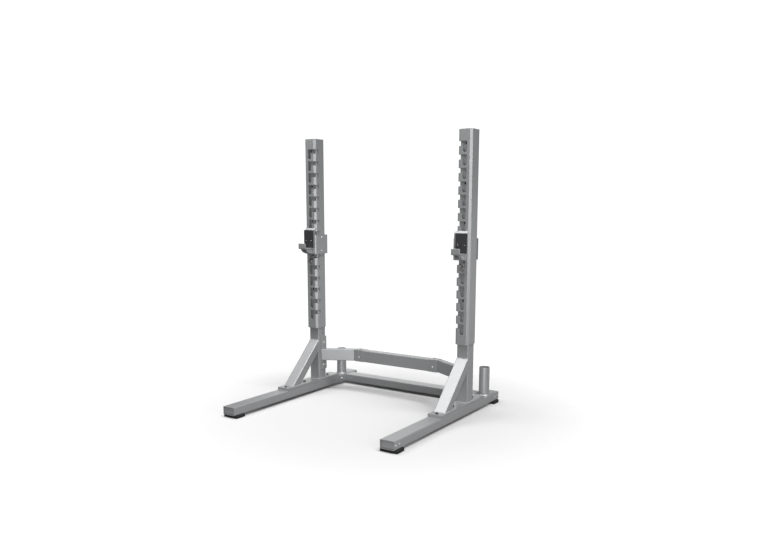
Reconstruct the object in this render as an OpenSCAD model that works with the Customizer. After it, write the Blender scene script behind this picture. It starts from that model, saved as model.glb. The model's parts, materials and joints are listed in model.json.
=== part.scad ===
// Free-standing squat stand: two slotted uprights on floor rails, tied by two
// cross-members, with a height-adjustable bar carriage hooked on each upright.
// +X is to the user's right, -Y is the front, +Z is up, and the floor is at z = 0.

/* [Floor frame] */
// Distance between the uprights' centre lines
upright_gap = 1204; // [1100:2:1300]
// Length of each floor rail
rail_l = 1332; // [1200:2:1500]
// Width of the rail and depth of the lower cross-member
rail_w = 94; // [85:1:96]
// Height of the rail and of the lower cross-member
rail_h = 53; // [50:1:60]
// Thickness of the rubber feet
foot_t = 20; // [15:1:25]
// Width of the rubber feet, across the rail
foot_w = 115; // [100:1:120]
// Length of the rubber feet, along the rail
foot_l = 78; // [60:1:90]
// From the upright's centre line back to the rail's rear end
upright_to_rear = 421; // [380:1:450]
// Wall thickness of all the square and rectangular tubes
wall = 4; // [3:0.5:5]

/* [Base plates and braces] */
// Thickness of the base plate on each rail
base_t = 18; // [10:1:20]
// From the upright's centre line to the base plate's front end
base_front = 390; // [370:1:400]
// From the upright's centre line to the base plate's rear end
base_rear = 190; // [150:1:200]
// Depth of the brace tube and of the upper cross-member
tie_d = 60; // [50:1:60]
// From the upright's centre line to the front of the brace's foot
brace_front = 333; // [300:1:345]
// Height where the brace's upper face meets the upright
brace_top = 380; // [360:1:400]

/* [Uprights] */
// Overall height
stand_h = 1790; // [1750:5:1850]
// Side of the square upright tube
tube = 80; // [75:1:82]
// Outside corner radius of the upright tube
tube_r = 5; // [4:1:8]
// Thickness of the plate that closes the upright's top
cap_t = 3; // [2:0.5:4]

/* [Slotted channel] */
// Outside width of the slotted channel
channel_w = 94; // [94:1:96]
// From the tube's front face to the channel's front face
channel_out = 21; // [20:0.5:26]
// Thickness of the channel's plate
channel_t = 6; // [5:0.5:6]
// Leg of the channel's 45 degree corner
channel_c = 13.5; // [12:0.5:14]
// From the tube's rear face forward to the channel's rear edges
channel_short = 3; // [2:0.5:6]
// Height of the channel's lower end
channel_z = 468; // [460:1:480]
// Number of J-shaped slots in each channel
slot_n = 15; // [12:1:15]
// Distance from one slot to the next
slot_pitch = 80; // [80:1:82]
// Height of the lowest slot's entry, at its middle
slot_low = 584.5; // [580:0.5:590]
// Height of a slot's entry
slot_h = 29; // [28:0.5:30]
// Width of a slot's upright leg
slot_leg = 28; // [27:0.5:29]
// From the top of a slot's entry down to its seat
slot_drop = 67; // [65:0.5:68]
// From the channel's inner side to the middle of a slot's leg
slot_in = 47; // [46:0.5:48]

/* [Upper cross-member] */
// Height of the upper cross-member's lower face
tie_z = 226; // [220:1:240]
// Height of the upper cross-member's tube
tie_h = 83; // [70:1:86]
// From the upright's centre line back to the middle tube's centre line
tie_back = 130; // [120:1:140]
// From the stand's middle to each knuckle's centre
knuckle_x = 305; // [290:1:320]
// Length of the square knuckle at each bend
knuckle_w = 75; // [70:1:80]

/* [Bar holders] */
// Outside radius of the upright bar holders
holder_r = 35; // [34:0.5:36]
// Inside radius of the upright bar holders, for a 50 mm sleeve
holder_bore_r = 30; // [27:0.5:31]
// Height of the bar holders above the rail
holder_h = 190; // [170:1:200]
// From the upright's centre line back to the bar holder's centre
holder_back = 288; // [280:1:300]

/* [Carriages] */
// Thickness of the carriage's plates
car_t = 6; // [5:0.5:6]
// Height of the carriage plate's lower edge
car_z = 1000; // [995:1:1005]
// Height of the carriage plate
car_h = 134; // [130:1:140]
// From the upright's centre line forward to the carriage's front face
car_front = 80; // [79:0.5:82]
// Width of the face pad
pad_w = 76; // [70:1:78]
// Height of the face pad
pad_h = 123; // [115:1:125]
// Thickness of the face pad
pad_t = 10; // [8:1:14]
// Height of the bar rest's upper face
rest_z = 1044; // [1040:1:1048]
// Width of the bar rest
rest_w = 58; // [50:1:60]
// From the pad's face forward to the rest lip's front
rest_out = 73; // [70:1:80]
// Height of the rest's lip above its upper face
lip_h = 32; // [28:1:36]

/* [Hidden] */
$fn = 48;
eps = 0.5;
up_x = upright_gap / 2;
up_y = rail_l / 2 - upright_to_rear;
rail_top = foot_t + rail_h;
base_top = rail_top + base_t;
half = tube / 2;
front_y = -half - channel_out;
side_x = channel_w / 2;
channel_rear = half - channel_short;
channel_top = stand_h - cap_t;
channel_h = channel_top - channel_z;
bend_in = channel_t * (2 - sqrt(2));
slot_x = -side_x + slot_in;
entry_back = -half / 2;
lower_y = 308.5;
flange_t = 8;
holder_floor = 6;
flange_h = 240;
flange_z = 160;
flange_bolt_z = [194, 356];
arm_d = 48;
flange_w = 58;
neck_l = 5;
neck_in = 2;
proud = 1;
knuckle_screw_z = 32;
arm_end = [up_x - half - flange_t, 12];
plug_t = 12;
plug_gap = 5;
plug_in = 5;
end_screw = [17, 56];
shank_r = 5;
hole_r = 5.5;
head_h = 6;
washer_h = 1.5;
washer_r = 10;
head_r = 8.5;
nut_h = 7;
base_bolt_y = [-361, -158, 110];
screw_r = 3;
screw_hole_r = 3.3;
screw_head_r = 6;
screw_head_h = 3;
foot_edge = 12;
foot_screw_x = [-30, 30];
lower_flange_y = [190, 400];
lower_bolt_y = [215, 380];
peep_r = 7;
peep_step = 3;
peep_up = 3;
spacer_y = [-2, 22];
car_gap = 6;
liner_gap = 0.5;
car_in = side_x + car_gap;
car_out = car_in + car_t;
car_rear = half + 6.5;
car_c = 6;
car_bend_in = car_t * (2 - sqrt(2));
pad_face = -car_front - pad_t;
pad_z = rest_z;
pad_screw_x = 23;
pad_screw_z = pad_z + 51;
hood_h = 14;
lip_t = 10;
rest_t = 8;
rest_front = pad_face - rest_out;
gusset_t = 8;
gusset_x = 21;
lug_w = 25;
lug_h = 25;
lug_rise = 0.4;
lug_head_w = 38;
lug_head_t = 8;
lug_slots = [6, 5];
liner_z = 4;
liner_screw_z = [19, 114];
liner_screw_y = -11;
rear_screw_x = 25;
steel = [0.66, 0.67, 0.68];
zinc = [0.80, 0.80, 0.80];
black = [0.16, 0.16, 0.17];

// ---- placing ----

// Shapes are drawn for the right-hand side, with y measured from the upright's
// centre line, and mirrored for the left (side = -1).
module at_side(side) {
    translate([0, up_y, 0]) mirror([side > 0 ? 0 : 1, 0, 0]) children();
}

module at_upright(side) {
    at_side(side) translate([up_x, 0, 0]) children();
}

module both_sides() {
    for (side = [-1, 1]) at_side(side) children();
}

module both_uprights() {
    for (side = [-1, 1]) at_upright(side) children();
}

// ---- shared shapes ----

// Rectangle with round corners
module round_rect(w, d, r) {
    square([w - 2 * r, d], center = true);
    square([w, d - 2 * r], center = true);
    for (x = [-1, 1], y = [-1, 1])
        translate([x * (w / 2 - r), y * (d / 2 - r)]) circle(r);
}

// Hollow tube of w by d standing on its end
module box_tube(w, d, r, l) {
    linear_extrude(l) difference() {
        round_rect(w, d, r);
        round_rect(w - 2 * wall, d - 2 * wall, r - wall + 1);
    }
}

// Round bar or hole of length l along +Y
module rod_y(r, l) {
    rotate([-90, 0, 0]) cylinder(h = l, r = r);
}

// Round bar or hole of length l along +X
module rod_x(r, l) {
    rotate([0, 90, 0]) cylinder(h = l, r = r);
}

// Hexagon bolt with its washer, standing on a surface at z = 0
module hex_bolt(grip) {
    cylinder(h = washer_h, r = washer_r);
    translate([0, 0, washer_h - eps]) cylinder(h = head_h + eps, r = head_r, $fn = 6);
    translate([0, 0, -grip]) cylinder(h = grip + eps, r = shank_r);
}

// Button-head screw standing on a surface at z = 0
module button_screw(grip) {
    rotate_extrude() polygon([[0, -grip], [screw_r, -grip], [screw_r, 0], [screw_head_r, 0],
        [screw_head_r, 1], [screw_head_r - 1.6, screw_head_h], [0, screw_head_h]]);
}

// ---- floor frame ----

module rail() {
    difference() {
        translate([0, upright_to_rear - rail_l, foot_t + rail_h / 2]) rotate([-90, 0, 0])
            box_tube(rail_w, rail_h, tube_r, rail_l);
        for (y = base_bolt_y) translate([0, y, rail_top - wall - eps])
            cylinder(h = wall + 2 * eps, r = hole_r);
        for (y = lower_bolt_y) translate([-rail_w / 2 - eps, y, foot_t + rail_h / 2])
            rod_x(hole_r, wall + 2 * eps);
        for (y = foot_places(), x = foot_screw_x) translate([x, y, foot_t - eps])
            cylinder(h = wall + 2 * eps, r = screw_hole_r);
        for (y = end_screw_places()) translate([rail_w / 2 - wall - eps, y, foot_t + rail_h / 2])
            rod_x(screw_hole_r, wall + 2 * eps);
    }
}

function end_screw_places() = [for (s = end_screw, e = [-1, 1])
    e < 0 ? upright_to_rear - rail_l + s : upright_to_rear - s];

function foot_places() = [upright_to_rear - rail_l + foot_edge + foot_l / 2,
    upright_to_rear - foot_edge - foot_l / 2];

// Plug set back inside the end of the rail
module rail_cap(end) {
    y = end < 0 ? upright_to_rear - rail_l + plug_in : upright_to_rear - plug_in - plug_t;
    translate([0, y, foot_t + rail_h / 2]) rotate([-90, 0, 0]) linear_extrude(plug_t)
        round_rect(rail_w - 2 * wall - plug_gap, rail_h - 2 * wall - plug_gap, tube_r);
}

module rail_caps() {
    rail_cap(-1);
    rail_cap(1);
}

module end_screw_set() {
    for (y = end_screw_places()) translate([rail_w / 2, y, foot_t + rail_h / 2])
        rotate([0, 90, 0]) button_screw(wall);
}

module foot(y) {
    difference() {
        translate([0, y, 0]) union() {
            linear_extrude(foot_t - 4) round_rect(foot_w, foot_l, 6);
            translate([0, 0, foot_t - 4 - eps]) linear_extrude(4 + eps)
                round_rect(foot_w - 4, foot_l - 4, 5);
        }
        for (x = foot_screw_x) {
            translate([x, y, -eps]) cylinder(h = foot_t + 2 * eps, r = screw_hole_r);
            translate([x, y, -eps]) cylinder(h = foot_t - 8, r = screw_head_r + 1.5);
        }
    }
}

module foot_screw_set() {
    for (y = foot_places(), x = foot_screw_x)
        translate([x, y, foot_t - 8 - eps]) mirror([0, 0, 1]) button_screw(8 + wall + 3);
}

module base_plate() {
    difference() {
        translate([-rail_w / 2, -base_front, rail_top])
            cube([rail_w, base_front + base_rear, base_t]);
        for (y = base_bolt_y) translate([0, y, rail_top - eps])
            cylinder(h = base_t + 2 * eps, r = hole_r);
    }
}

module base_bolt_set() {
    for (y = base_bolt_y) translate([0, y, base_top]) hex_bolt(base_t + wall + 6);
}

// ---- uprights ----

module upright_tube() {
    difference() {
        translate([0, 0, base_top]) box_tube(tube, tube, tube_r, channel_top - base_top);
        for (i = [slot_n - 1:-peep_step:0])
            translate([slot_x, -half - eps, entry_z(i) + peep_up])
                rod_y(peep_r, wall + 2 * eps);
        for (z = flange_bolt_z) translate([-half - eps, arm_end[1], z])
            rod_x(hole_r, wall + 2 * eps);
        for (z = [421, 445]) translate([-half - eps, arm_end[1], z])
            rod_x(hole_r, wall + 2 * eps);
    }
}

function entry_z(i) = slot_low + i * slot_pitch;
function seat_z(i) = entry_z(i) + slot_h / 2 - slot_drop;

// Outline of the bent plate, seen from above: a U with 45 degree front corners
function u_outline(x, front, rear, c, t, bend) = [
    [-x, rear], [-x, front + c], [-x + c, front], [x - c, front], [x, front + c], [x, rear],
    [x - t, rear], [x - t, front + t + c - bend], [x - t - c + bend, front + t],
    [-x + t + c - bend, front + t], [-x + t, front + t + c - bend], [-x + t, rear]];

// One J-shaped slot: a level entry from the inner side and a leg down to a round seat
module j_slot(i) {
    r = slot_leg / 2;
    translate([-side_x - eps, front_y - eps, entry_z(i) - slot_h / 2])
        cube([side_x + eps + slot_x + r, entry_back - front_y + eps, slot_h]);
    translate([slot_x - r, front_y - eps, seat_z(i) + r])
        cube([slot_leg, channel_t + 2 * eps, slot_drop - r - slot_h / 2]);
    translate([slot_x, front_y - eps, seat_z(i) + r]) rod_y(r, channel_t + 2 * eps);
}

module slotted_channel() {
    difference() {
        translate([0, 0, channel_z]) linear_extrude(channel_h)
            polygon(u_outline(side_x, front_y, channel_rear, channel_c, channel_t, bend_in));
        for (i = [0:slot_n - 1]) j_slot(i);
    }
}

module channel_spacers() {
    for (x = [-side_x + channel_t, half])
        translate([x, spacer_y[0], channel_z])
            cube([side_x - channel_t - half, spacer_y[1] - spacer_y[0], channel_h]);
}

module top_cap() {
    translate([0, 0, channel_top]) linear_extrude(cap_t)
        polygon([[-side_x, half], [-side_x, front_y + channel_c], [-side_x + channel_c, front_y],
            [side_x - channel_c, front_y], [side_x, front_y + channel_c], [side_x, half]]);
}

// Sloping tube from the base plate up to the upright's front face
module brace() {
    run = brace_front - half;
    rise = brace_top - base_top;
    a = atan2(rise, run);
    over = 120;
    intersection() {
        translate([0, -brace_front + tie_d / 2 * sin(a), base_top - tie_d / 2 * cos(a)])
            rotate([a - 90, 0, 0]) translate([0, 0, -over])
                box_tube(tube, tie_d, tube_r, norm([run, rise]) + 2 * over);
        translate([-tube, -brace_front - tube, base_top])
            cube([2 * tube, brace_front + tube - half, 2 * rise]);
    }
}

// ---- cross-members ----

module lower_crossmember() {
    half_l = up_x - rail_w / 2 - flange_t;
    translate([-half_l, up_y + lower_y, foot_t + rail_h / 2]) rotate([0, 90, 0])
        box_tube(rail_h, rail_w, tube_r, 2 * half_l);
}

module lower_flange() {
    difference() {
        translate([-rail_w / 2 - flange_t, lower_flange_y[0], foot_t + 3])
            cube([flange_t, lower_flange_y[1] - lower_flange_y[0], rail_h - 6]);
        for (y = lower_bolt_y)
            translate([-rail_w / 2 - flange_t - eps, y, foot_t + rail_h / 2])
                rod_x(hole_r, flange_t + 2 * eps);
    }
}

module lower_bolt_set() {
    for (y = lower_bolt_y)
        translate([-rail_w / 2 - flange_t, y, foot_t + rail_h / 2]) rotate([0, -90, 0])
            hex_bolt(flange_t + wall + 6);
}

module upper_crossmember() {
    half_l = knuckle_x - knuckle_w / 2;
    translate([-half_l, up_y + tie_back, tie_z + tie_h / 2]) rotate([0, 90, 0])
        box_tube(tie_h, tie_d, tube_r, 2 * half_l);
}

// Tube from the knuckle forward and outward to the flange on the upright
module crossmember_arm() {
    start = [knuckle_x + knuckle_w / 2 + neck_l, tie_back];
    run = arm_end - start;
    intersection() {
        translate([start[0], start[1], tie_z + tie_h / 2]) rotate([0, 0, atan2(run[1], run[0])])
            rotate([0, 90, 0]) translate([0, 0, -tie_d])
                box_tube(tie_h, arm_d, tube_r, norm(run) + 2 * tie_d);
        translate([start[0], -2 * tie_d, 0])
            cube([run[0], tie_back + 4 * tie_d, stand_h / 2]);
    }
}

// Hollow block at the bend, with a neck that the arm is welded to
module knuckle() {
    d = tie_d + 2 * proud;
    h = tie_h + 2 * proud;
    difference() {
        translate([knuckle_x, tie_back, tie_z + tie_h / 2]) union() {
            translate([0, 0, -h / 2]) linear_extrude(h) round_rect(knuckle_w, d, 3);
            translate([knuckle_w / 2 - eps, -arm_d / 2, neck_in - h / 2])
                cube([neck_l + eps, arm_d, h - 2 * neck_in]);
        }
        translate([knuckle_x, tie_back, tie_z - proud + wall]) linear_extrude(h - 2 * wall)
            round_rect(knuckle_w - 2 * wall, d - 2 * wall, 2);
        knuckle_screw_place() translate([0, 0, -wall - eps])
            cylinder(h = wall + 2 * eps, r = screw_hole_r);
        knuckle_bolt_place() translate([0, 0, -wall - eps])
            cylinder(h = wall + 2 * eps, r = hole_r);
    }
}

module knuckle_screw_place() {
    translate([knuckle_x, tie_back - tie_d / 2 - proud, tie_z + knuckle_screw_z]) rotate([90, 0, 0])
        children();
}

module knuckle_bolt_place() {
    translate([knuckle_x, tie_back, tie_z + tie_h + proud]) children();
}

module knuckle_screw_set() {
    knuckle_screw_place() button_screw(wall + 1);
    knuckle_bolt_place() hex_bolt(wall + 8);
}

module upright_flange() {
    difference() {
        translate([-half - flange_t, arm_end[1] - flange_w / 2, flange_z])
            cube([flange_t, flange_w, flange_h]);
        for (z = flange_bolt_z) translate([-half - flange_t - eps, arm_end[1], z])
            rod_x(hole_r, flange_t + 2 * eps);
    }
}

module flange_bolt_set() {
    for (z = flange_bolt_z) translate([-half - flange_t, arm_end[1], z]) rotate([0, -90, 0])
        hex_bolt(flange_t + wall + nut_h + 3);
}

module flange_nut_set() {
    for (z = flange_bolt_z) translate([-half + wall, arm_end[1], z]) rotate([0, 90, 0])
        difference() {
            cylinder(h = nut_h, r = head_r, $fn = 6);
            translate([0, 0, -eps]) cylinder(h = nut_h + 2 * eps, r = shank_r + 0.05);
        }
}

// ---- bar holders ----

// Open tube with a closed floor, welded to the rail
module bar_holder() {
    translate([0, holder_back, rail_top]) rotate_extrude() {
        translate([holder_bore_r, 0]) square([holder_r - holder_bore_r, holder_h]);
        square([holder_bore_r + eps, holder_floor]);
        polygon([[holder_r - eps, 0], [holder_r + 5, 0], [holder_r - eps, 5 + eps]]);
    }
}

// ---- carriages ----

// Bent plate round the front, inner side and rear of the upright, seen from above
module carriage_plate() {
    outline = [[pad_w / 2, -car_front], [-car_out + car_c, -car_front],
        [-car_out, -car_front + car_c], [-car_out, car_rear + car_t],
        [side_x + 2, car_rear + car_t], [side_x + 2, car_rear], [-car_in, car_rear],
        [-car_in, -car_front + car_t + car_c - car_bend_in],
        [-car_in + car_c - car_bend_in, -car_front + car_t], [pad_w / 2, -car_front + car_t]];
    difference() {
        translate([0, 0, car_z]) linear_extrude(car_h) polygon(outline);
        for (z = liner_screw_z) {
            translate([-car_out - eps, liner_screw_y, car_z + z])
                rod_x(screw_hole_r, car_t + 2 * eps);
            translate([rear_screw_side(z), car_rear - eps, car_z + z])
                rod_y(screw_hole_r, car_t + 2 * eps);
        }
        pad_screw_holes();
    }
}

function rear_screw_side(z) = z < car_h / 2 ? -rear_screw_x : rear_screw_x;

module pad_screw_holes() {
    for (x = [-pad_screw_x, pad_screw_x])
        translate([x, -car_front - eps, pad_screw_z]) rod_y(screw_hole_r, car_t + 2 * eps);
}

// Front plate above the carriage plate, bent back over the pad at 45 degrees
module pad_hood() {
    top = pad_z + pad_h;
    f = -car_front;
    profile = [[f, car_z + car_h], [f, top], [f + hood_h, top + hood_h],
        [f + hood_h + 3, top + hood_h], [f + hood_h + 3, top + hood_h - 5.5],
        [f + car_t, top - 2.5], [f + car_t, car_z + car_h]];
    translate([-car_out + car_c, 0, 0]) rotate([90, 0, 90])
        linear_extrude(pad_w / 2 + car_out - car_c) polygon(profile);
}

module pad() {
    difference() {
        translate([0, -car_front, pad_z + pad_h / 2]) rotate([90, 0, 0])
            linear_extrude(pad_t) round_rect(pad_w, pad_h, 5);
        for (x = [-pad_screw_x, pad_screw_x]) {
            translate([x, pad_face - eps, pad_screw_z]) rod_y(screw_hole_r, pad_t + 2 * eps);
            translate([x, pad_face - eps, pad_screw_z]) rod_y(screw_head_r + 1, 4 + eps);
        }
    }
}

module pad_screw_set() {
    for (x = [-pad_screw_x, pad_screw_x])
        translate([x, pad_face + 4, pad_screw_z]) rotate([90, 0, 0])
            button_screw(pad_t - 4 + car_t);
}

// Level tray with an upturned lip that keeps the bar on it
module bar_rest() {
    y0 = rest_front;
    z0 = rest_z - rest_t;
    profile = [[-car_front, z0], [-car_front, rest_z], [y0 + lip_t + 5, rest_z],
        [y0 + lip_t + 1.5, rest_z + 1.5], [y0 + lip_t, rest_z + 5], [y0 + lip_t, rest_z + lip_h - 2],
        [y0 + lip_t - 2, rest_z + lip_h], [y0 + 2, rest_z + lip_h], [y0, rest_z + lip_h - 2],
        [y0, z0 + 6], [y0 + 6, z0]];
    translate([-rest_w / 2, 0, 0]) rotate([90, 0, 90]) linear_extrude(rest_w) polygon(profile);
}

// Quarter-round ribs between the tray and the carriage plate
module rest_gussets() {
    reach = rest_out - 12;
    drop = rest_z - rest_t - car_z - 4;
    arc = [for (t = [0:9:90]) [-car_front - reach * cos(t), rest_z - rest_t - drop * sin(t)]];
    for (x = [-gusset_x, gusset_x])
        translate([x - gusset_t / 2, 0, 0]) rotate([90, 0, 90]) linear_extrude(gusset_t)
            polygon(concat([[-car_front, rest_z - rest_t]], arc));
}

// T-shaped lugs that pass through two slots and hang on their seats
module hook_lug(i) {
    z = seat_z(i) + lug_rise;
    y0 = -car_front + car_t;
    r = lug_w / 2;
    neck = front_y + channel_t + lug_rise - y0;
    translate([slot_x, y0, z + r]) rod_y(r, neck + eps);
    translate([slot_x - r, y0, z + r]) cube([lug_w, neck + eps, lug_h - r]);
    translate([slot_x - lug_head_w / 2, y0 + neck, z])
        cube([lug_head_w, lug_head_t, lug_h]);
}

module hook_lugs() {
    for (i = lug_slots) hook_lug(i);
}

module side_liner() {
    difference() {
        translate([-car_in, -34, car_z + liner_z])
            cube([car_gap - liner_gap, 66, car_h - 2 * liner_z]);
        for (z = liner_screw_z) translate([-car_in - eps, liner_screw_y, car_z + z])
            rod_x(screw_r + 0.1, 4 + eps);
    }
}

module rear_liner() {
    difference() {
        translate([-side_x + 2, half + liner_gap, car_z + liner_z])
            cube([channel_w - 4, car_rear - half - liner_gap, car_h - 2 * liner_z]);
        for (z = liner_screw_z) translate([rear_screw_side(z), car_rear - 5, car_z + z])
            rod_y(screw_r + 0.1, 5 + eps);
    }
}

module liner_screw_set() {
    for (z = liner_screw_z) {
        translate([-car_out, liner_screw_y, car_z + z]) rotate([0, -90, 0])
            button_screw(car_t + 3.5);
        translate([rear_screw_side(z), car_rear + car_t, car_z + z]) rotate([-90, 0, 0])
            button_screw(car_t + 4.5);
    }
}

// ---- sub-parts ----

module left_rail() color(steel) at_upright(-1) rail();
module right_rail() color(steel) at_upright(1) rail();
module left_rail_caps() color(steel) at_upright(-1) rail_caps();
module right_rail_caps() color(steel) at_upright(1) rail_caps();
module left_front_foot() color(black) at_upright(-1) foot(foot_places()[0]);
module left_rear_foot() color(black) at_upright(-1) foot(foot_places()[1]);
module right_front_foot() color(black) at_upright(1) foot(foot_places()[0]);
module right_rear_foot() color(black) at_upright(1) foot(foot_places()[1]);
module foot_screws() color(zinc) both_uprights() foot_screw_set();
module rail_end_screws() color(zinc) both_uprights() end_screw_set();
module left_base_plate() color(steel) at_upright(-1) base_plate();
module right_base_plate() color(steel) at_upright(1) base_plate();
module base_plate_bolts() color(zinc) both_uprights() base_bolt_set();
module left_upright_tube() color(steel) at_upright(-1) upright_tube();
module right_upright_tube() color(steel) at_upright(1) upright_tube();
module left_slotted_channel() color(steel) at_upright(-1) slotted_channel();
module right_slotted_channel() color(steel) at_upright(1) slotted_channel();
module left_channel_spacers() color(steel) at_upright(-1) channel_spacers();
module right_channel_spacers() color(steel) at_upright(1) channel_spacers();
module left_top_cap() color(steel) at_upright(-1) top_cap();
module right_top_cap() color(steel) at_upright(1) top_cap();
module left_brace() color(steel) at_upright(-1) brace();
module right_brace() color(steel) at_upright(1) brace();
module left_lower_flange() color(steel) at_upright(-1) lower_flange();
module right_lower_flange() color(steel) at_upright(1) lower_flange();
module lower_flange_bolts() color(zinc) both_uprights() lower_bolt_set();
module left_crossmember_arm() color(steel) at_side(-1) crossmember_arm();
module right_crossmember_arm() color(steel) at_side(1) crossmember_arm();
module left_knuckle() color(steel) at_side(-1) knuckle();
module right_knuckle() color(steel) at_side(1) knuckle();
module knuckle_screws() color(zinc) both_sides() knuckle_screw_set();
module left_upright_flange() color(steel) at_upright(-1) upright_flange();
module right_upright_flange() color(steel) at_upright(1) upright_flange();
module upright_flange_bolts() color(zinc) both_uprights() flange_bolt_set();
module upright_flange_nuts() color(zinc) both_uprights() flange_nut_set();
module left_bar_holder() color(steel) at_upright(-1) bar_holder();
module right_bar_holder() color(steel) at_upright(1) bar_holder();
module left_carriage_plate() color(steel) at_upright(-1) carriage_plate();
module right_carriage_plate() color(steel) at_upright(1) carriage_plate();
module left_pad_hood() color(steel) at_upright(-1) pad_hood();
module right_pad_hood() color(steel) at_upright(1) pad_hood();
module left_pad() color(black) at_upright(-1) pad();
module right_pad() color(black) at_upright(1) pad();
module left_pad_screws() color(zinc) at_upright(-1) pad_screw_set();
module right_pad_screws() color(zinc) at_upright(1) pad_screw_set();
module left_bar_rest() color(steel) at_upright(-1) bar_rest();
module right_bar_rest() color(steel) at_upright(1) bar_rest();
module left_rest_gussets() color(steel) at_upright(-1) rest_gussets();
module right_rest_gussets() color(steel) at_upright(1) rest_gussets();
module left_hook_lugs() color(zinc) at_upright(-1) hook_lugs();
module right_hook_lugs() color(zinc) at_upright(1) hook_lugs();
module left_side_liner() color(black) at_upright(-1) side_liner();
module right_side_liner() color(black) at_upright(1) side_liner();
module left_rear_liner() color(black) at_upright(-1) rear_liner();
module right_rear_liner() color(black) at_upright(1) rear_liner();
module left_liner_screws() color(zinc) at_upright(-1) liner_screw_set();
module right_liner_screws() color(zinc) at_upright(1) liner_screw_set();

left_rail();
right_rail();
left_rail_caps();
right_rail_caps();
left_front_foot();
left_rear_foot();
right_front_foot();
right_rear_foot();
foot_screws();
left_base_plate();
right_base_plate();
base_plate_bolts();
left_upright_tube();
right_upright_tube();
left_slotted_channel();
right_slotted_channel();
left_channel_spacers();
right_channel_spacers();
left_top_cap();
right_top_cap();
left_brace();
right_brace();
color(steel) lower_crossmember();
left_lower_flange();
right_lower_flange();
lower_flange_bolts();
color(steel) upper_crossmember();
left_crossmember_arm();
right_crossmember_arm();
left_knuckle();
right_knuckle();
knuckle_screws();
left_upright_flange();
right_upright_flange();
upright_flange_bolts();
upright_flange_nuts();
left_bar_holder();
right_bar_holder();
rail_end_screws();
left_carriage_plate();
left_pad_hood();
left_pad();
left_pad_screws();
left_bar_rest();
left_rest_gussets();
left_hook_lugs();
left_side_liner();
left_rear_liner();
left_liner_screws();
right_carriage_plate();
right_pad_hood();
right_pad();
right_pad_screws();
right_bar_rest();
right_rest_gussets();
right_hook_lugs();
right_side_liner();
right_rear_liner();
right_liner_screws();
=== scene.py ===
"""Looks for a free-standing squat stand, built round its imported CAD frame.

Each sub-assembly is a class that holds its sizes and makes its pieces; each finish is a small
class that makes one procedural material. Lengths are in metres, in the frame's own axes:
+X to the user's right, -Y to the front and +Z up, with the floor at z = 0.
"""

from __future__ import annotations

import json
import logging
import math
from dataclasses import dataclass, field
from enum import Enum
from typing import Iterable, Sequence

import bpy
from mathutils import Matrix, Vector

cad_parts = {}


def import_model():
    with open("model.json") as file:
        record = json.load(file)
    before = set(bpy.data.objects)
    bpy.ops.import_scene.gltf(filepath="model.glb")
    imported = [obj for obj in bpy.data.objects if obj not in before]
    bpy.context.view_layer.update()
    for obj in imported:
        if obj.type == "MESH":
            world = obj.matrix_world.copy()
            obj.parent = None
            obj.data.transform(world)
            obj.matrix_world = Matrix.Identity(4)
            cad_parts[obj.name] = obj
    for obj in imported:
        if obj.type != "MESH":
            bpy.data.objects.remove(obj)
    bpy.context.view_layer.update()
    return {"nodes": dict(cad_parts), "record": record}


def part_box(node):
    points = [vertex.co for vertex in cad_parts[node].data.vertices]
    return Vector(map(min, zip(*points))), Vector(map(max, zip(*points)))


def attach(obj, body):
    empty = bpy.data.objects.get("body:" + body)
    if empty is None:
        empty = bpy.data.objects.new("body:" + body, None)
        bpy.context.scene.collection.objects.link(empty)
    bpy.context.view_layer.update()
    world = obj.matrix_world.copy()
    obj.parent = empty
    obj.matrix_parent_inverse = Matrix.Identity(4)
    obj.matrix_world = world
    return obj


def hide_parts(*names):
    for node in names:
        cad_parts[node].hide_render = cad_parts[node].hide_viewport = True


LOG = logging.getLogger("squat_stand")
MM = 0.001
SMOOTH_DEG = 38.0
WELD_SMOOTH_DEG = 60.0
SAME_PLACE = 0.01 * MM
SAME_PLANE_DEG = 0.3

Colour = tuple[float, float, float]


# ---- shader building ----


class Maths:
    """A value socket that can be used in Python arithmetic."""

    def __init__(self, tree: bpy.types.NodeTree, socket: bpy.types.NodeSocket) -> None:
        """Wraps one output socket of a node tree."""
        self.tree = tree
        self.socket = socket

    def _combine(self, operation: str, first: object, second: object) -> Maths:
        """Adds a Math node.

        Args:
            operation: the Math node's operation.
            first: a Maths or a number for the first input.
            second: a Maths or a number for the second input.

        Returns:
            The wrapped result.
        """
        node = self.tree.nodes.new("ShaderNodeMath")
        node.operation = operation
        for place, operand in enumerate((first, second)):
            if isinstance(operand, Maths):
                self.tree.links.new(operand.socket, node.inputs[place])
            else:
                node.inputs[place].default_value = float(operand)
        return Maths(self.tree, node.outputs[0])

    def __add__(self, other: object) -> Maths:
        """self + other."""
        return self._combine("ADD", self, other)

    def __radd__(self, other: object) -> Maths:
        """other + self."""
        return self._combine("ADD", other, self)

    def __sub__(self, other: object) -> Maths:
        """self - other."""
        return self._combine("SUBTRACT", self, other)

    def __rsub__(self, other: object) -> Maths:
        """other - self."""
        return self._combine("SUBTRACT", other, self)

    def __mul__(self, other: object) -> Maths:
        """self * other."""
        return self._combine("MULTIPLY", self, other)

    def __rmul__(self, other: object) -> Maths:
        """other * self."""
        return self._combine("MULTIPLY", other, self)


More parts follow.
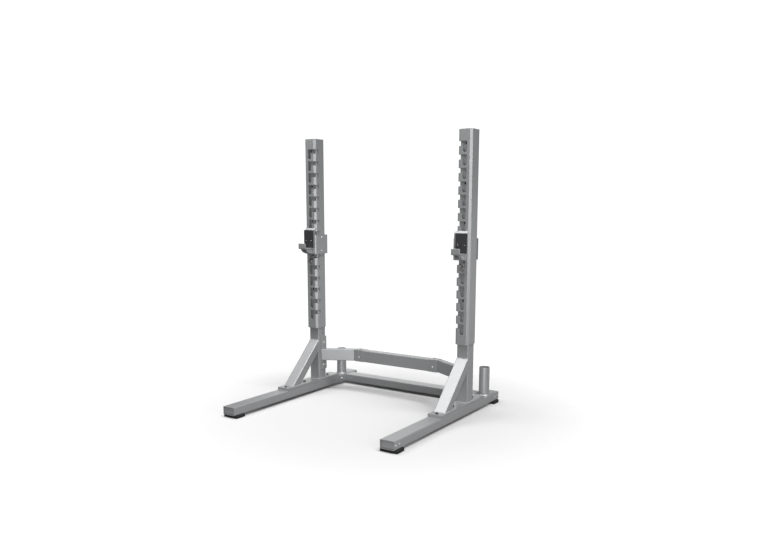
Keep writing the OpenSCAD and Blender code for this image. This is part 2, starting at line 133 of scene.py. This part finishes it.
class Shader:
    """One material's node tree, with its Principled shader."""

    def __init__(self, name: str) -> None:
        """Makes an empty material of that name with a Principled shader and an output."""
        self.material = bpy.data.materials.new(name)
        self.material.use_nodes = True
        self.tree = self.material.node_tree
        self.tree.nodes.clear()
        output = self.tree.nodes.new("ShaderNodeOutputMaterial")
        self.surface = self.tree.nodes.new("ShaderNodeBsdfPrincipled")
        self.tree.links.new(self.surface.outputs["BSDF"], output.inputs["Surface"])
        self.coordinates = self.tree.nodes.new("ShaderNodeTexCoord").outputs["Object"]

    def node(
        self, kind: str, settings: dict[str, object] | None = None, **sockets: object
    ) -> bpy.types.Node:
        """Adds a node of any kind.

        Args:
            kind: the node's type.
            settings: its properties, set before its sockets; "stops" are a ramp's
                (position, colour) pairs.
            sockets: values or links by socket name, with _ for a space.

        Returns:
            The node.
        """
        node = self.tree.nodes.new(kind)
        for key, setting in (settings or {}).items():
            if key == "stops":
                self._set_stops(node, setting)
            else:
                setattr(node, key, setting)
        for key, given in sockets.items():
            self.feed(node.inputs[key.replace("_", " ")], given)
        return node

    @staticmethod
    def _set_stops(node: bpy.types.Node, stops: Sequence[tuple[float, float]]) -> None:
        """Gives a ramp its grey stops, as (position, brightness) pairs."""
        ramp = node.color_ramp
        while len(ramp.elements) < len(stops):
            ramp.elements.new(1.0)
        for element, (position, grey) in zip(ramp.elements, stops):
            element.position = position
            element.color = (grey, grey, grey, 1.0)

    def feed(self, socket: bpy.types.NodeSocket, given: object) -> None:
        """Links given to a socket, or sets it as the socket's value."""
        if isinstance(given, Maths):
            self.tree.links.new(given.socket, socket)
        elif isinstance(given, bpy.types.NodeSocket):
            self.tree.links.new(given, socket)
        else:
            socket.default_value = given

    def stretched(self, scale: tuple[float, float, float]) -> bpy.types.NodeSocket:
        """Object coordinates scaled along each axis."""
        return self.node("ShaderNodeMapping", Vector=self.coordinates, Scale=scale).outputs[0]

    def noise(
        self,
        scale: float,
        detail: float = 2.0,
        roughness: float = 0.5,
        stretch: tuple[float, float, float] | None = None,
    ) -> Maths:
        """Fractal noise over the surface.

        Args:
            scale: cells per metre.
            detail: octaves.
            roughness: how much the finer octaves count.
            stretch: scale along each axis before the noise, if any.

        Returns:
            The noise's value, 0 to 1 about 0.5.
        """
        vector = self.stretched(stretch) if stretch else self.coordinates
        made = self.node(
            "ShaderNodeTexNoise", Vector=vector, Scale=scale, Detail=detail, Roughness=roughness
        )
        return Maths(self.tree, made.outputs["Fac"])

    def ramp(self, given: Maths, stops: Sequence[tuple[float, float]]) -> Maths:
        """Maps a value through grey stops."""
        made = self.node("ShaderNodeValToRGB", {"stops": stops}, Fac=given)
        return Maths(self.tree, made.outputs["Color"])

    def blend(
        self,
        factor: Maths,
        first: Sequence[float] | bpy.types.NodeSocket,
        second: Sequence[float] | bpy.types.NodeSocket,
    ) -> bpy.types.NodeSocket:
        """Mixes two colours by a factor and returns the colour socket."""
        made = self.node("ShaderNodeMix", {"data_type": "RGBA"})
        self.feed(made.inputs[0], factor)
        for socket, colour in ((made.inputs[6], first), (made.inputs[7], second)):
            plain = not isinstance(colour, bpy.types.NodeSocket)
            self.feed(socket, (*colour, 1.0) if plain else colour)
        return made.outputs[2]

    def bumps(self, height: Maths, strength: float, distance: float) -> None:
        """Feeds a bump of that height, strength and distance to the shader's normal."""
        made = self.node("ShaderNodeBump", Height=height, Strength=strength, Distance=distance)
        self.feed(self.surface.inputs["Normal"], made.outputs["Normal"])

    def set(self, **sockets: object) -> None:
        """Sets or links the Principled shader's sockets, with _ for a space."""
        for key, given in sockets.items():
            self.feed(self.surface.inputs[key.replace("_", " ")], given)


@dataclass(frozen=True)
class PowderCoat:
    """Silver metallic powder coat: fine flake, a little orange peel and faint handling marks."""

    name: str = "silver_powder_coat"
    light: Colour = (0.345, 0.35, 0.355)
    dark: Colour = (0.265, 0.27, 0.275)
    grime: Colour = (0.17, 0.17, 0.168)
    metallic: float = 0.45
    roughness: float = 0.36
    coat: float = 0.18
    coat_roughness: float = 0.22
    flake_scale: float = 1700.0
    peel_scale: float = 420.0
    cloud_scale: float = 5.5
    scuff_scale: float = 46.0
    mark_strength: float = 0.35
    peel_strength: float = 0.16
    peel_depth: float = 0.6 * MM

    def build(self) -> bpy.types.Material:
        """Makes the material."""
        shader = Shader(self.name)
        flake = shader.noise(self.flake_scale, detail=1.0)
        cloud = shader.noise(self.cloud_scale, detail=3.0)
        scuffs = shader.noise(
            self.scuff_scale, detail=6.0, roughness=0.7, stretch=(1.0, 1.0, 0.3)
        )
        peel = shader.noise(self.peel_scale, detail=2.0)
        speck = shader.ramp(flake, ((0.32, 0.0), (0.66, 1.0)))
        marks = shader.ramp(scuffs, ((0.62, 0.0), (0.78, 1.0))) * self.mark_strength
        base = shader.blend(speck * 0.6 + cloud * 0.4, self.dark, self.light)
        shader.set(
            Base_Color=shader.blend(marks * cloud, base, self.grime),
            Metallic=self.metallic,
            Roughness=self.roughness + cloud * 0.08 + speck * 0.05 + marks * 0.25,
            Coat_Weight=self.coat,
            Coat_Roughness=self.coat_roughness,
        )
        height = peel * 0.75 + flake * 0.25
        shader.bumps(height, strength=self.peel_strength, distance=self.peel_depth)
        return shader.material


@dataclass(frozen=True)
class ZincPlate:
    """Bright zinc plating with a fine brushed grain and slightly duller patches."""

    name: str = "zinc_plate"
    light: Colour = (0.80, 0.80, 0.79)
    dull: Colour = (0.58, 0.58, 0.55)
    roughness: float = 0.26
    patch_scale: float = 160.0
    grain_scale: float = 2200.0
    grain_strength: float = 0.12
    grain_depth: float = 0.3 * MM

    def build(self) -> bpy.types.Material:
        """Makes the material."""
        shader = Shader(self.name)
        patch = shader.noise(self.patch_scale, detail=4.0)
        grain = shader.noise(self.grain_scale, detail=2.0, stretch=(1.0, 1.0, 0.15))
        shader.set(
            Base_Color=shader.blend(patch, self.light, self.dull),
            Metallic=1.0,
            Roughness=self.roughness + patch * 0.16 + grain * 0.06,
        )
        shader.bumps(grain, strength=self.grain_strength, distance=self.grain_depth)
        return shader.material


@dataclass(frozen=True)
class BareSteel:
    """Machined steel with a thin oxide and bright vertical rub marks from use."""

    name: str = "bare_steel"
    oxide: Colour = (0.30, 0.29, 0.28)
    rubbed: Colour = (0.66, 0.65, 0.63)
    roughness: float = 0.5
    streak_scale: float = 380.0
    patch_scale: float = 75.0
    streak_strength: float = 0.2
    streak_depth: float = 0.4 * MM

    def build(self) -> bpy.types.Material:
        """Makes the material."""
        shader = Shader(self.name)
        streaks = shader.noise(self.streak_scale, detail=4.0, stretch=(1.0, 1.0, 0.08))
        patch = shader.noise(self.patch_scale, detail=3.0)
        bright = shader.ramp(streaks * 0.6 + patch * 0.4, ((0.42, 0.0), (0.60, 1.0)))
        shader.set(
            Base_Color=shader.blend(bright, self.oxide, self.rubbed),
            Metallic=1.0,
            Roughness=self.roughness - bright * 0.2,
        )
        shader.bumps(streaks, strength=self.streak_strength, distance=self.streak_depth)
        return shader.material


@dataclass(frozen=True)
class MouldedPolymer:
    """Moulded rubber or plastic: a fine pebble grain, dust in it, and scuffs."""

    name: str
    deep: Colour
    worn: Colour
    roughness: float
    grain_scale: float
    grain_depth: float
    scuff_stretch: tuple[float, float, float] = (1.0, 1.0, 1.0)
    cloud_scale: float = 24.0
    scuff_scale: float = 95.0
    grain_strength: float = 0.3
    shine: float = 0.42

    def build(self) -> bpy.types.Material:
        """Makes the material."""
        shader = Shader(self.name)
        pebble = shader.node(
            "ShaderNodeTexVoronoi",
            {"feature": "SMOOTH_F1"},
            Vector=shader.coordinates,
            Scale=self.grain_scale,
        )
        grain = Maths(shader.tree, pebble.outputs["Distance"])
        cloud = shader.noise(self.cloud_scale, detail=4.0)
        scuffs = shader.noise(
            self.scuff_scale, detail=6.0, roughness=0.72, stretch=self.scuff_stretch
        )
        worn = shader.ramp(scuffs, ((0.56, 0.0), (0.80, 1.0)))
        shader.set(
            Base_Color=shader.blend(worn * 0.6 + cloud * 0.25, self.deep, self.worn),
            Roughness=self.roughness + cloud * 0.12 - worn * 0.1,
            Specular_IOR_Level=self.shine,
        )
        height = grain * 0.8 + scuffs * 0.2
        shader.bumps(height, strength=self.grain_strength, distance=self.grain_depth)
        return shader.material


@dataclass(frozen=True)
class StudioPaper:
    """Pale floor that throws little light back up and fades out round the stand.

    It is solid as far from the origin as solid_to and clear from gone_by outward, so the sky
    shows behind the stand with no edge.
    """

    name: str = "studio_paper"
    seen: Colour = (0.54, 0.54, 0.54)
    thrown: Colour = (0.22, 0.22, 0.22)
    solid_to: float = 0.6
    gone_by: float = 1.9
    roughness: float = 0.95

    def build(self) -> bpy.types.Material:
        """Makes the material."""
        shader = Shader(self.name)
        path = shader.node("ShaderNodeLightPath")
        direct = Maths(shader.tree, path.outputs["Is Camera Ray"])
        away = shader.node(
            "ShaderNodeVectorMath", {"operation": "LENGTH"}, Vector=shader.coordinates
        ).outputs["Value"]
        cover = shader.node(
            "ShaderNodeMapRange",
            {"interpolation_type": "SMOOTHSTEP"},
            Value=away,
            From_Min=self.solid_to,
            From_Max=self.gone_by,
            To_Min=1.0,
            To_Max=0.0,
        ).outputs["Result"]
        shader.set(
            Alpha=cover,
            Base_Color=shader.blend(direct, self.thrown, self.seen),
            Roughness=self.roughness,
            Specular_IOR_Level=0.0,
        )
        return shader.material


class Finish(Enum):
    """The finishes, by the record's material slots."""

    SILVER = "silver_paint"
    ZINC = "zinc_fastener"
    LUG = "lug_steel"
    # near-black bolts: painted shade, the bolts given the darkness of the shadow that they sit in
    BLACKED = "black_bolt"
    FOOT = "foot_rubber"
    PAD = "pad_urethane"
    LINER = "liner_plastic"


def build_finishes() -> dict[Finish, bpy.types.Material]:
    """Makes every finish's material once."""
    # Near-black steel for the bolts in the black_bolt slot: painted shade, the darkness of the
    # shadow on those bolts put into their colour.
    shadow_dark_bolts = BareSteel(
        "blacked_steel", oxide=(0.045, 0.045, 0.047), rubbed=(0.16, 0.16, 0.16)
    )
    foot = MouldedPolymer(
        "moulded_rubber",
        deep=(0.008, 0.008, 0.009),
        worn=(0.035, 0.035, 0.037),
        roughness=0.78,
        grain_scale=900.0,
        grain_depth=0.4 * MM,
    )
    pad = MouldedPolymer(
        "face_urethane",
        deep=(0.018, 0.018, 0.020),
        worn=(0.05, 0.05, 0.053),
        roughness=0.56,
        grain_scale=1100.0,
        grain_depth=0.3 * MM,
    )
    liner = MouldedPolymer(
        "liner_sheet",
        deep=(0.015, 0.015, 0.016),
        worn=(0.07, 0.07, 0.07),
        roughness=0.42,
        grain_scale=700.0,
        grain_depth=0.2 * MM,
        scuff_stretch=(1.0, 1.0, 0.1),
    )
    return {
        Finish.SILVER: PowderCoat().build(),
        Finish.ZINC: ZincPlate().build(),
        Finish.LUG: BareSteel().build(),
        Finish.BLACKED: shadow_dark_bolts.build(),
        Finish.FOOT: foot.build(),
        Finish.PAD: pad.build(),
        Finish.LINER: liner.build(),
    }


# ---- shared modelling ----


def select_only(piece: bpy.types.Object) -> None:
    """Makes one object the only selected and the active one."""
    bpy.ops.object.select_all(action="DESELECT")
    piece.select_set(True)
    bpy.context.view_layer.objects.active = piece


def apply_modifiers(piece: bpy.types.Object) -> None:
    """Applies all of a piece's modifiers in order."""
    select_only(piece)
    for modifier in list(piece.modifiers):
        bpy.ops.object.modifier_apply(modifier=modifier.name)


def settle(piece: bpy.types.Object, name: str, smooth_deg: float = SMOOTH_DEG) -> None:
    """Names a piece, puts its place in its mesh and shades it smooth.

    Args:
        piece: the object, at its place.
        name: what it is called from now on.
        smooth_deg: faces that meet at less than this shade smooth; large faces stay flat.
    """
    select_only(piece)
    bpy.ops.object.transform_apply(location=True, rotation=True, scale=True)
    piece.name = name
    piece.data.name = name
    bpy.ops.object.shade_smooth_by_angle(angle=math.radians(smooth_deg))
    modifier = piece.modifiers.new("flats", "WEIGHTED_NORMAL")
    modifier.mode = "FACE_AREA"
    modifier.keep_sharp = True
    apply_modifiers(piece)


def bevel(
    piece: bpy.types.Object, width: float, segments: int = 2, angle_deg: float = 34.0
) -> None:
    """Rounds a piece's edges.

    Args:
        piece: the object.
        width: the bevel's width in metres.
        segments: how many faces go round the edge.
        angle_deg: only edges that turn more than this are rounded.
    """
    modifier = piece.modifiers.new("edge", "BEVEL")
    modifier.width = width
    modifier.segments = segments
    modifier.limit_method = "ANGLE"
    modifier.angle_limit = math.radians(angle_deg)
    modifier.miter_outer = "MITER_ARC"
    apply_modifiers(piece)


def block(low: Vector, high: Vector) -> bpy.types.Object:
    """A cube between two corners, alone selected, with its size applied."""
    bpy.ops.object.select_all(action="DESELECT")
    bpy.ops.mesh.primitive_cube_add(size=1.0, location=(low + high) / 2)
    piece = bpy.context.active_object
    piece.scale = high - low
    bpy.ops.object.transform_apply(location=True, rotation=True, scale=True)
    return piece


def joined(pieces: Iterable[bpy.types.Object]) -> bpy.types.Object:
    """Joins several objects into the first of them."""
    members = list(pieces)
    select_only(members[0])
    for piece in members:
        piece.select_set(True)
    bpy.ops.object.join()
    return bpy.context.active_object


def subtract(piece: bpy.types.Object, cutter: bpy.types.Object) -> None:
    """Cuts one object out of another and removes the cutter."""
    modifier = piece.modifiers.new("cut", "BOOLEAN")
    modifier.operation = "DIFFERENCE"
    modifier.solver = "EXACT"
    modifier.object = cutter
    apply_modifiers(piece)
    bpy.data.objects.remove(cutter)


@dataclass
class Workshop:
    """What every sub-assembly needs: the frame, the materials and the slots of its nodes."""

    nodes: dict[str, bpy.types.Object]
    materials: dict[Finish, bpy.types.Material]
    slots: dict[str, Finish]
    bodies: dict[str, str]
    made: int = 0

    def dress(self, piece: bpy.types.Object, body: str, finish: Finish, *replaced: str) -> None:
        """Gives a piece its material and its body.

        Args:
            piece: the finished object.
            body: the CAD body that it rides on.
            finish: its finish.
            replaced: the CAD nodes that it stands for, if any.
        """
        piece.data.materials.clear()
        piece.data.materials.append(self.materials[finish])
        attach(piece, body)
        if replaced:
            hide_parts(*replaced)
        self.made += 1
        LOG.info("%s rides on %s", piece.name, body)

    def skin(self, node: str, width: float, segments: int = 2) -> None:
        """Stands for a CAD node with a copy whose edges are rounded as real plate's are.

        Args:
            node: the CAD node.
            width: the rounding's width in metres.
            segments: how many faces go round an edge.
        """
        piece = bpy.data.objects.new(node + "_skin", self.nodes[node].data.copy())
        bpy.context.scene.collection.objects.link(piece)
        select_only(piece)
        bpy.ops.mesh.customdata_custom_splitnormals_clear()
        bpy.ops.object.mode_set(mode="EDIT")
        bpy.ops.mesh.select_all(action="SELECT")
        bpy.ops.mesh.remove_doubles(threshold=SAME_PLACE)
        bpy.ops.mesh.dissolve_limited(angle_limit=math.radians(SAME_PLANE_DEG))
        bpy.ops.object.mode_set(mode="OBJECT")
        bevel(piece, width, segments)
        settle(piece, node + "_skin")
        self.dress(piece, self.bodies[node], self.slots[node], node)

    def weld(self, bead: bpy.types.Object, name: str, body: str = "frame") -> None:
        """Finishes a weld, under the same silver coat as the parts that it joins.

        Args:
            bead: the bead, or several joined as one.
            name: what the weld is called.
            body: the CAD body that it rides on.
        """
        settle(bead, name, WELD_SMOOTH_DEG)
        self.dress(bead, body, Finish.SILVER)


class Side(Enum):
    """Left or right half of the stand, with the sign of its x."""

    LEFT = -1
    RIGHT = 1

    def named(self, part: str) -> str:
        """The name of that part, or of that body, on this side."""
        return f"{self.name.lower()}_{part}"


# ---- welds ----


@dataclass(frozen=True)
class WeldBead:
    """A hand-laid fillet weld along a straight line, as a row of overlapping ripples."""

    width: float = 6.0 * MM
    pitch: float = 2.6 * MM
    ripple_segments: int = 8
    ripple_rings: int = 5
    ripple_length: float = 0.62

    def run(self, start: Vector, end: Vector) -> bpy.types.Object:
        """Lays one straight bead.

        Args:
            start: where it starts.
            end: where it ends.

        Returns:
            The bead, not yet dressed.
        """
        along = end - start
        count = max(2, round(along.length / self.pitch))
        bpy.ops.object.select_all(action="DESELECT")
        bpy.ops.mesh.primitive_uv_sphere_add(
            segments=self.ripple_segments, ring_count=self.ripple_rings, radius=self.width / 2
        )
        ripple = bpy.context.active_object
        ripple.rotation_euler = along.to_track_quat("Z", "Y").to_euler()
        ripple.scale = (1.0, 1.0, self.ripple_length)
        bpy.ops.object.transform_apply(location=True, rotation=True, scale=True)
        ripple.location = start
        bpy.ops.object.transform_apply(location=True, rotation=True, scale=True)
        modifier = ripple.modifiers.new("row", "ARRAY")
        modifier.count = count
        modifier.use_relative_offset = False
        modifier.use_constant_offset = True
        modifier.constant_offset_displace = along / (count - 1)
        apply_modifiers(ripple)
        return ripple

    def ring(self, points: Sequence[Vector]) -> bpy.types.Object:
        """Lays beads from point to point and back to the first."""
        ends = [*points[1:], points[0]]
        return joined([self.run(start, end) for start, end in zip(points, ends)])


# ---- sub-assemblies ----


@dataclass
class FloorFrame:
    """Rails, caps, feet, base plates, lower cross-member and bar holders."""

    shop: Workshop
    plate_edge: float = 1.2 * MM
    cap_edge: float = 0.8 * MM
    bolt_edge: float = 0.5 * MM
    foot_corner: float = 6.0 * MM
    foot_edge: float = 2.2 * MM
    tread_count: int = 7
    tread_depth: float = 1.6 * MM
    tread_gap: float = 0.34
    weld_sides: int = 20
    weld_inset: float = 3.5 * MM
    ring_bead: WeldBead = field(default_factory=lambda: WeldBead(width=4.5 * MM))

    def build(self) -> None:
        """Makes all the floor frame's pieces."""
        for side in Side:
            self.shop.skin(side.named("rail"), self.cap_edge)
            self.shop.skin(side.named("rail_caps"), self.cap_edge)
            self.shop.skin(side.named("base_plate"), self.plate_edge)
            self.shop.skin(side.named("lower_flange"), self.cap_edge)
            self.shop.skin(side.named("bar_holder"), self.cap_edge, segments=3)
            for end in ("front_foot", "rear_foot"):
                self.foot(side.named(end))
            self.weld_holder(side)
        self.shop.skin("lower_crossmember", self.cap_edge)
        for bolts in ("base_plate_bolts", "lower_flange_bolts", "foot_screws", "rail_end_screws"):
            self.shop.skin(bolts, self.bolt_edge)

    def weld_holder(self, side: Side) -> None:
        """Welds the bar holder to the rail, right round its foot."""
        low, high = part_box(side.named("bar_holder"))
        middle = (low + high) / 2
        radius = (high.x - low.x) / 2 - self.weld_inset
        turns = [math.tau * step / self.weld_sides for step in range(self.weld_sides)]
        ring = [
            Vector((middle.x + radius * math.cos(t), middle.y + radius * math.sin(t), low.z))
            for t in turns
        ]
        self.shop.weld(self.ring_bead.ring(ring), side.named("holder_weld"))

    def foot(self, node: str) -> None:
        """Moulds one rubber foot: round corners, a chamfered top and a grooved tread.

        Args:
            node: the CAD node that it stands for.
        """
        low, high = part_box(node)
        piece = block(low, high)
        bpy.ops.object.mode_set(mode="EDIT")
        bpy.ops.mesh.select_all(action="DESELECT")
        bpy.ops.object.mode_set(mode="OBJECT")
        for edge in piece.data.edges:
            first, second = (piece.data.vertices[v].co for v in edge.vertices)
            edge.select = abs(first.z - second.z) > (high.z - low.z) / 2
        bpy.ops.object.mode_set(mode="EDIT")
        bpy.ops.mesh.select_mode(type="EDGE")
        bpy.ops.mesh.bevel(offset=self.foot_corner, segments=5)
        bpy.ops.object.mode_set(mode="OBJECT")
        self.cut_tread(piece, low, high)
        bevel(piece, self.foot_edge, segments=3, angle_deg=60.0)
        settle(piece, node + "_moulding")
        self.shop.dress(piece, self.shop.bodies[node], Finish.FOOT, node)

    def cut_tread(self, piece: bpy.types.Object, low: Vector, high: Vector) -> None:
        """Cuts shallow grooves along the foot's two long sides.

        Args:
            piece: the foot.
            low: the foot's lowest corner.
            high: the foot's highest corner.
        """
        step = (high.z - low.z) / (self.tread_count - 1)
        groove = step * self.tread_gap
        reach = self.tread_depth
        cutters = []
        for row in range(1, self.tread_count - 2):
            z = low.z + step * (row + 0.5)
            frame_low = Vector((low.x - reach, low.y - reach, z - groove / 2))
            frame_high = Vector((high.x + reach, high.y + reach, z + groove / 2))
            ring = block(frame_low, frame_high)
            core_low = Vector((low.x + reach, low.y + reach, frame_low.z - reach))
            core_high = Vector((high.x - reach, high.y - reach, frame_high.z + reach))
            core = block(core_low, core_high)
            subtract(ring, core)
            cutters.append(ring)
        subtract(piece, joined(cutters))


@dataclass
class Uprights:
    """Upright tubes, slotted channels, caps, braces and their welds."""

    shop: Workshop
    bead: WeldBead = field(default_factory=WeldBead)
    tube_edge: float = 0.6 * MM
    channel_edge: float = 0.7 * MM
    brace_weld_share: float = 0.28

    def build(self) -> None:
        """Makes both uprights."""
        for side in Side:
            self.shop.skin(side.named("upright_tube"), self.tube_edge)
            self.shop.skin(side.named("slotted_channel"), self.channel_edge)
            self.shop.skin(side.named("channel_spacers"), self.tube_edge)
            self.shop.skin(side.named("top_cap"), self.tube_edge)
            self.shop.skin(side.named("brace"), self.tube_edge)
            self.weld_tube_foot(side)
            self.weld_brace(side)
            self.weld_channel(side)

    def weld_tube_foot(self, side: Side) -> None:
        """Welds the upright tube to its base plate."""
        low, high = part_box(side.named("upright_tube"))
        inset = self.bead.width * 0.7
        points = [
            Vector((x, y, low.z))
            for x, y in (
                (low.x + inset, low.y),
                (high.x - inset, low.y),
                (high.x, low.y + inset),
                (high.x, high.y - inset),
                (high.x - inset, high.y),
                (low.x + inset, high.y),
                (low.x, high.y - inset),
                (low.x, low.y + inset),
            )
        ]
        self.shop.weld(self.bead.ring(points), side.named("tube_foot_weld"))

    def weld_brace(self, side: Side) -> None:
        """Welds the brace to the base plate and to the upright tube."""
        low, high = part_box(side.named("brace"))
        inset = self.bead.width
        foot = self.bead.run(
            Vector((low.x + inset, low.y, low.z)), Vector((high.x - inset, low.y, low.z))
        )
        head = self.bead.run(
            Vector((low.x + inset, high.y, high.z)), Vector((high.x - inset, high.y, high.z))
        )
        slope = (high.z - low.z) / (high.y - low.y)
        rise = (high.z - low.z) * self.brace_weld_share
        sides = []
        for x in (low.x, high.x):
            sides.append(
                self.bead.run(
                    Vector((x, low.y + inset, low.z)),
                    Vector((x, low.y + rise / slope - inset, low.z)),
                )
            )
            sides.append(
                self.bead.run(
                    Vector((x, high.y, high.z - inset)), Vector((x, high.y, high.z - rise))
                )
            )
        self.shop.weld(joined([foot, head, *sides]), side.named("brace_welds"))

    def weld_channel(self, side: Side) -> None:
        """Welds the channel's lower end to the spacers and the tube."""
        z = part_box(side.named("slotted_channel"))[0].z
        low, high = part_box(side.named("channel_spacers"))
        inset = self.bead.width / 2
        beads = [
            self.bead.run(Vector((x, low.y + inset, z)), Vector((x, high.y - inset, z)))
            for x in (low.x, high.x)
        ]
        self.shop.weld(joined(beads), side.named("channel_welds"))


@dataclass
class UpperTie:
    """The bowed upper cross-member with its knuckles and flanges."""

    shop: Workshop
    bead: WeldBead = field(default_factory=lambda: WeldBead(width=5.0 * MM, pitch=2.4 * MM))
    tube_edge: float = 0.6 * MM
    knuckle_edge: float = 2.0 * MM

    def build(self) -> None:
        """Makes the upper cross-member."""
        self.shop.skin("upper_crossmember", self.tube_edge)
        self.shop.skin("knuckle_screws", self.tube_edge)
        for side in Side:
            self.shop.skin(side.named("crossmember_arm"), self.tube_edge)
            self.shop.skin(side.named("knuckle"), self.knuckle_edge, segments=3)
            self.shop.skin(side.named("upright_flange"), self.tube_edge)
            self.weld_knuckle(side)
        for fasteners in ("upright_flange_bolts", "upright_flange_nuts"):
            self.shop.skin(fasteners, self.tube_edge)

    def weld_knuckle(self, side: Side) -> None:
        """Welds the middle tube to the knuckle down its front and rear edges."""
        low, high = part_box("upper_crossmember")
        x = high.x if side is Side.RIGHT else low.x
        inset = self.bead.width
        beads = [
            self.bead.run(Vector((x, y, low.z + inset)), Vector((x, y, high.z - inset)))
            for y in (low.y, high.y)
        ]
        self.shop.weld(joined(beads), side.named("knuckle_welds"))


@dataclass
class Carriage:
    """One height-adjustable bar carriage."""

    shop: Workshop
    side: Side
    bead: WeldBead = field(default_factory=lambda: WeldBead(width=4.0 * MM, pitch=2.0 * MM))
    plate_edge: float = 0.9 * MM
    pad_edge: float = 2.2 * MM
    small_edge: float = 0.4 * MM

    def build(self) -> None:
        """Makes the carriage's pieces."""
        for part in ("carriage_plate", "pad_hood", "bar_rest", "rest_gussets"):
            self.shop.skin(self.side.named(part), self.plate_edge)
        self.shop.skin(self.side.named("pad"), self.pad_edge, segments=4)
        for part in ("pad_screws", "liner_screws", "hook_lugs", "side_liner", "rear_liner"):
            self.shop.skin(self.side.named(part), self.small_edge)
        self.weld_rest()

    def weld_rest(self) -> None:
        """Welds the bar rest's underside to the carriage plate."""
        low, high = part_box(self.side.named("bar_rest"))
        inset = self.bead.width
        weld = self.bead.run(
            Vector((low.x + inset, high.y, low.z)), Vector((high.x - inset, high.y, low.z))
        )
        self.shop.weld(weld, self.side.named("rest_weld"), self.side.named("carriage"))


# ---- studio ----


@dataclass
class Softbox:
    """One square area light aimed at a point."""

    name: str
    place: Vector
    target: Vector
    size: float
    watts: float

    def build(self) -> None:
        """Adds the light."""
        light = bpy.data.lights.new(self.name, "AREA")
        light.shape = "SQUARE"
        light.size = self.size
        light.energy = self.watts
        lamp = bpy.data.objects.new(self.name, light)
        lamp.location = self.place
        lamp.rotation_euler = (self.target - self.place).to_track_quat("-Z", "Y").to_euler()
        bpy.context.scene.collection.objects.link(lamp)


@dataclass
class Studio:
    """Floor, sky, lights and camera."""

    camera_place: Vector = field(default_factory=lambda: Vector((2.679, -3.834, 1.3165)))
    camera_turn_deg: float = 33.81
    camera_tilt_deg: float = -9.75
    lens_mm: float = 34.34
    lift: float = 0.0698
    slide: float = -0.00025
    far_clip: float = 100.0
    floor_size: float = 60.0
    sky_strength: float = 0.14
    backdrop_strength: float = 1.1
    day_strength: float = 3.0
    day_softness_deg: float = 30.0
    day_from: Vector = field(default_factory=lambda: Vector((0.45, -0.12, 1.0)))
    chest: Vector = field(default_factory=lambda: Vector((0.0, 0.0, 0.8)))
    feet: Vector = field(default_factory=lambda: Vector((0.0, 0.1, 0.2)))

    def build(self) -> None:
        """Makes the floor, the lights and the camera."""
        bpy.ops.object.select_all(action="DESELECT")
        bpy.ops.mesh.primitive_plane_add(size=self.floor_size)
        floor = bpy.context.active_object
        floor.name = "studio_floor"
        floor.data.materials.append(StudioPaper().build())
        self.light()
        self.aim_camera()

    def light(self) -> None:
        """Adds the soft sky, the softboxes and a broad sun.

        The key stands at the right front and the overhead box above. The low card lights the
        faces turned to the front; the rear box and the far card light those turned away.
        """
        self.hang_backdrop()
        bpy.context.scene.view_settings.view_transform = "Standard"
        for name, place, target, size, watts in (
            ("key", (5.0, -2.4, 1.9), self.chest, 2.2, 84.0),
            ("overhead", (-1.2, -1.0, 3.6), self.feet, 2.4, 98.0),
            ("card", (3.0, -4.9, 0.5), self.chest, 1.3, 140.0),
            ("rear", (4.2, 4.6, 0.3), self.chest, 2.0, 20.0),
            ("far card", (-3.2, 4.8, 1.3), self.chest, 3.0, 36.0),
        ):
            Softbox(name, Vector(place), target, size, watts).build()
        day = bpy.data.lights.new("day", "SUN")
        day.energy = self.day_strength
        day.angle = math.radians(self.day_softness_deg)
        lamp = bpy.data.objects.new("day", day)
        lamp.rotation_euler = (-self.day_from).to_track_quat("-Z", "Y").to_euler()
        bpy.context.scene.collection.objects.link(lamp)

    def hang_backdrop(self) -> None:
        """Makes a soft sky that looks white behind the stand but lights it more gently."""
        world = bpy.data.worlds.new("soft_sky")
        world.use_nodes = True
        tree = world.node_tree
        seen = tree.nodes.new("ShaderNodeLightPath").outputs["Is Camera Ray"]
        strength = Maths(tree, seen) * (self.backdrop_strength - self.sky_strength)
        sky = tree.nodes["Background"]
        sky.inputs["Color"].default_value = (1.0, 1.0, 1.0, 1.0)
        tree.links.new((strength + self.sky_strength).socket, sky.inputs["Strength"])
        bpy.context.scene.world = world

    def aim_camera(self) -> None:
        """Adds the camera and makes it the scene's."""
        lens = bpy.data.cameras.new("view")
        lens.lens = self.lens_mm
        lens.shift_x = self.slide
        lens.shift_y = self.lift
        lens.clip_end = self.far_clip
        camera = bpy.data.objects.new("view", lens)
        camera.location = self.camera_place
        camera.rotation_euler = (
            math.radians(90.0 + self.camera_tilt_deg),
            0.0,
            math.radians(self.camera_turn_deg),
        )
        bpy.context.scene.collection.objects.link(camera)
        bpy.context.scene.camera = camera


def main() -> None:
    logging.basicConfig(level=logging.INFO, format="%(name)s: %(message)s")
    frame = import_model()
    record = frame["record"]
    shop = Workshop(
        nodes=frame["nodes"],
        materials=build_finishes(),
        slots={row["node"]: Finish(row["material_slot"]) for row in record["subparts"]},
        bodies={n: b for b, nodes in record["behaviour"]["bodies"].items() for n in nodes},
    )
    Studio().build()
    assemblies = [FloorFrame(shop), Uprights(shop), UpperTie(shop)]
    assemblies += [Carriage(shop, side) for side in Side]
    for assembly in assemblies:
        assembly.build()
    LOG.info("%d pieces made", shop.made)


if __name__ == "__main__":
    main()
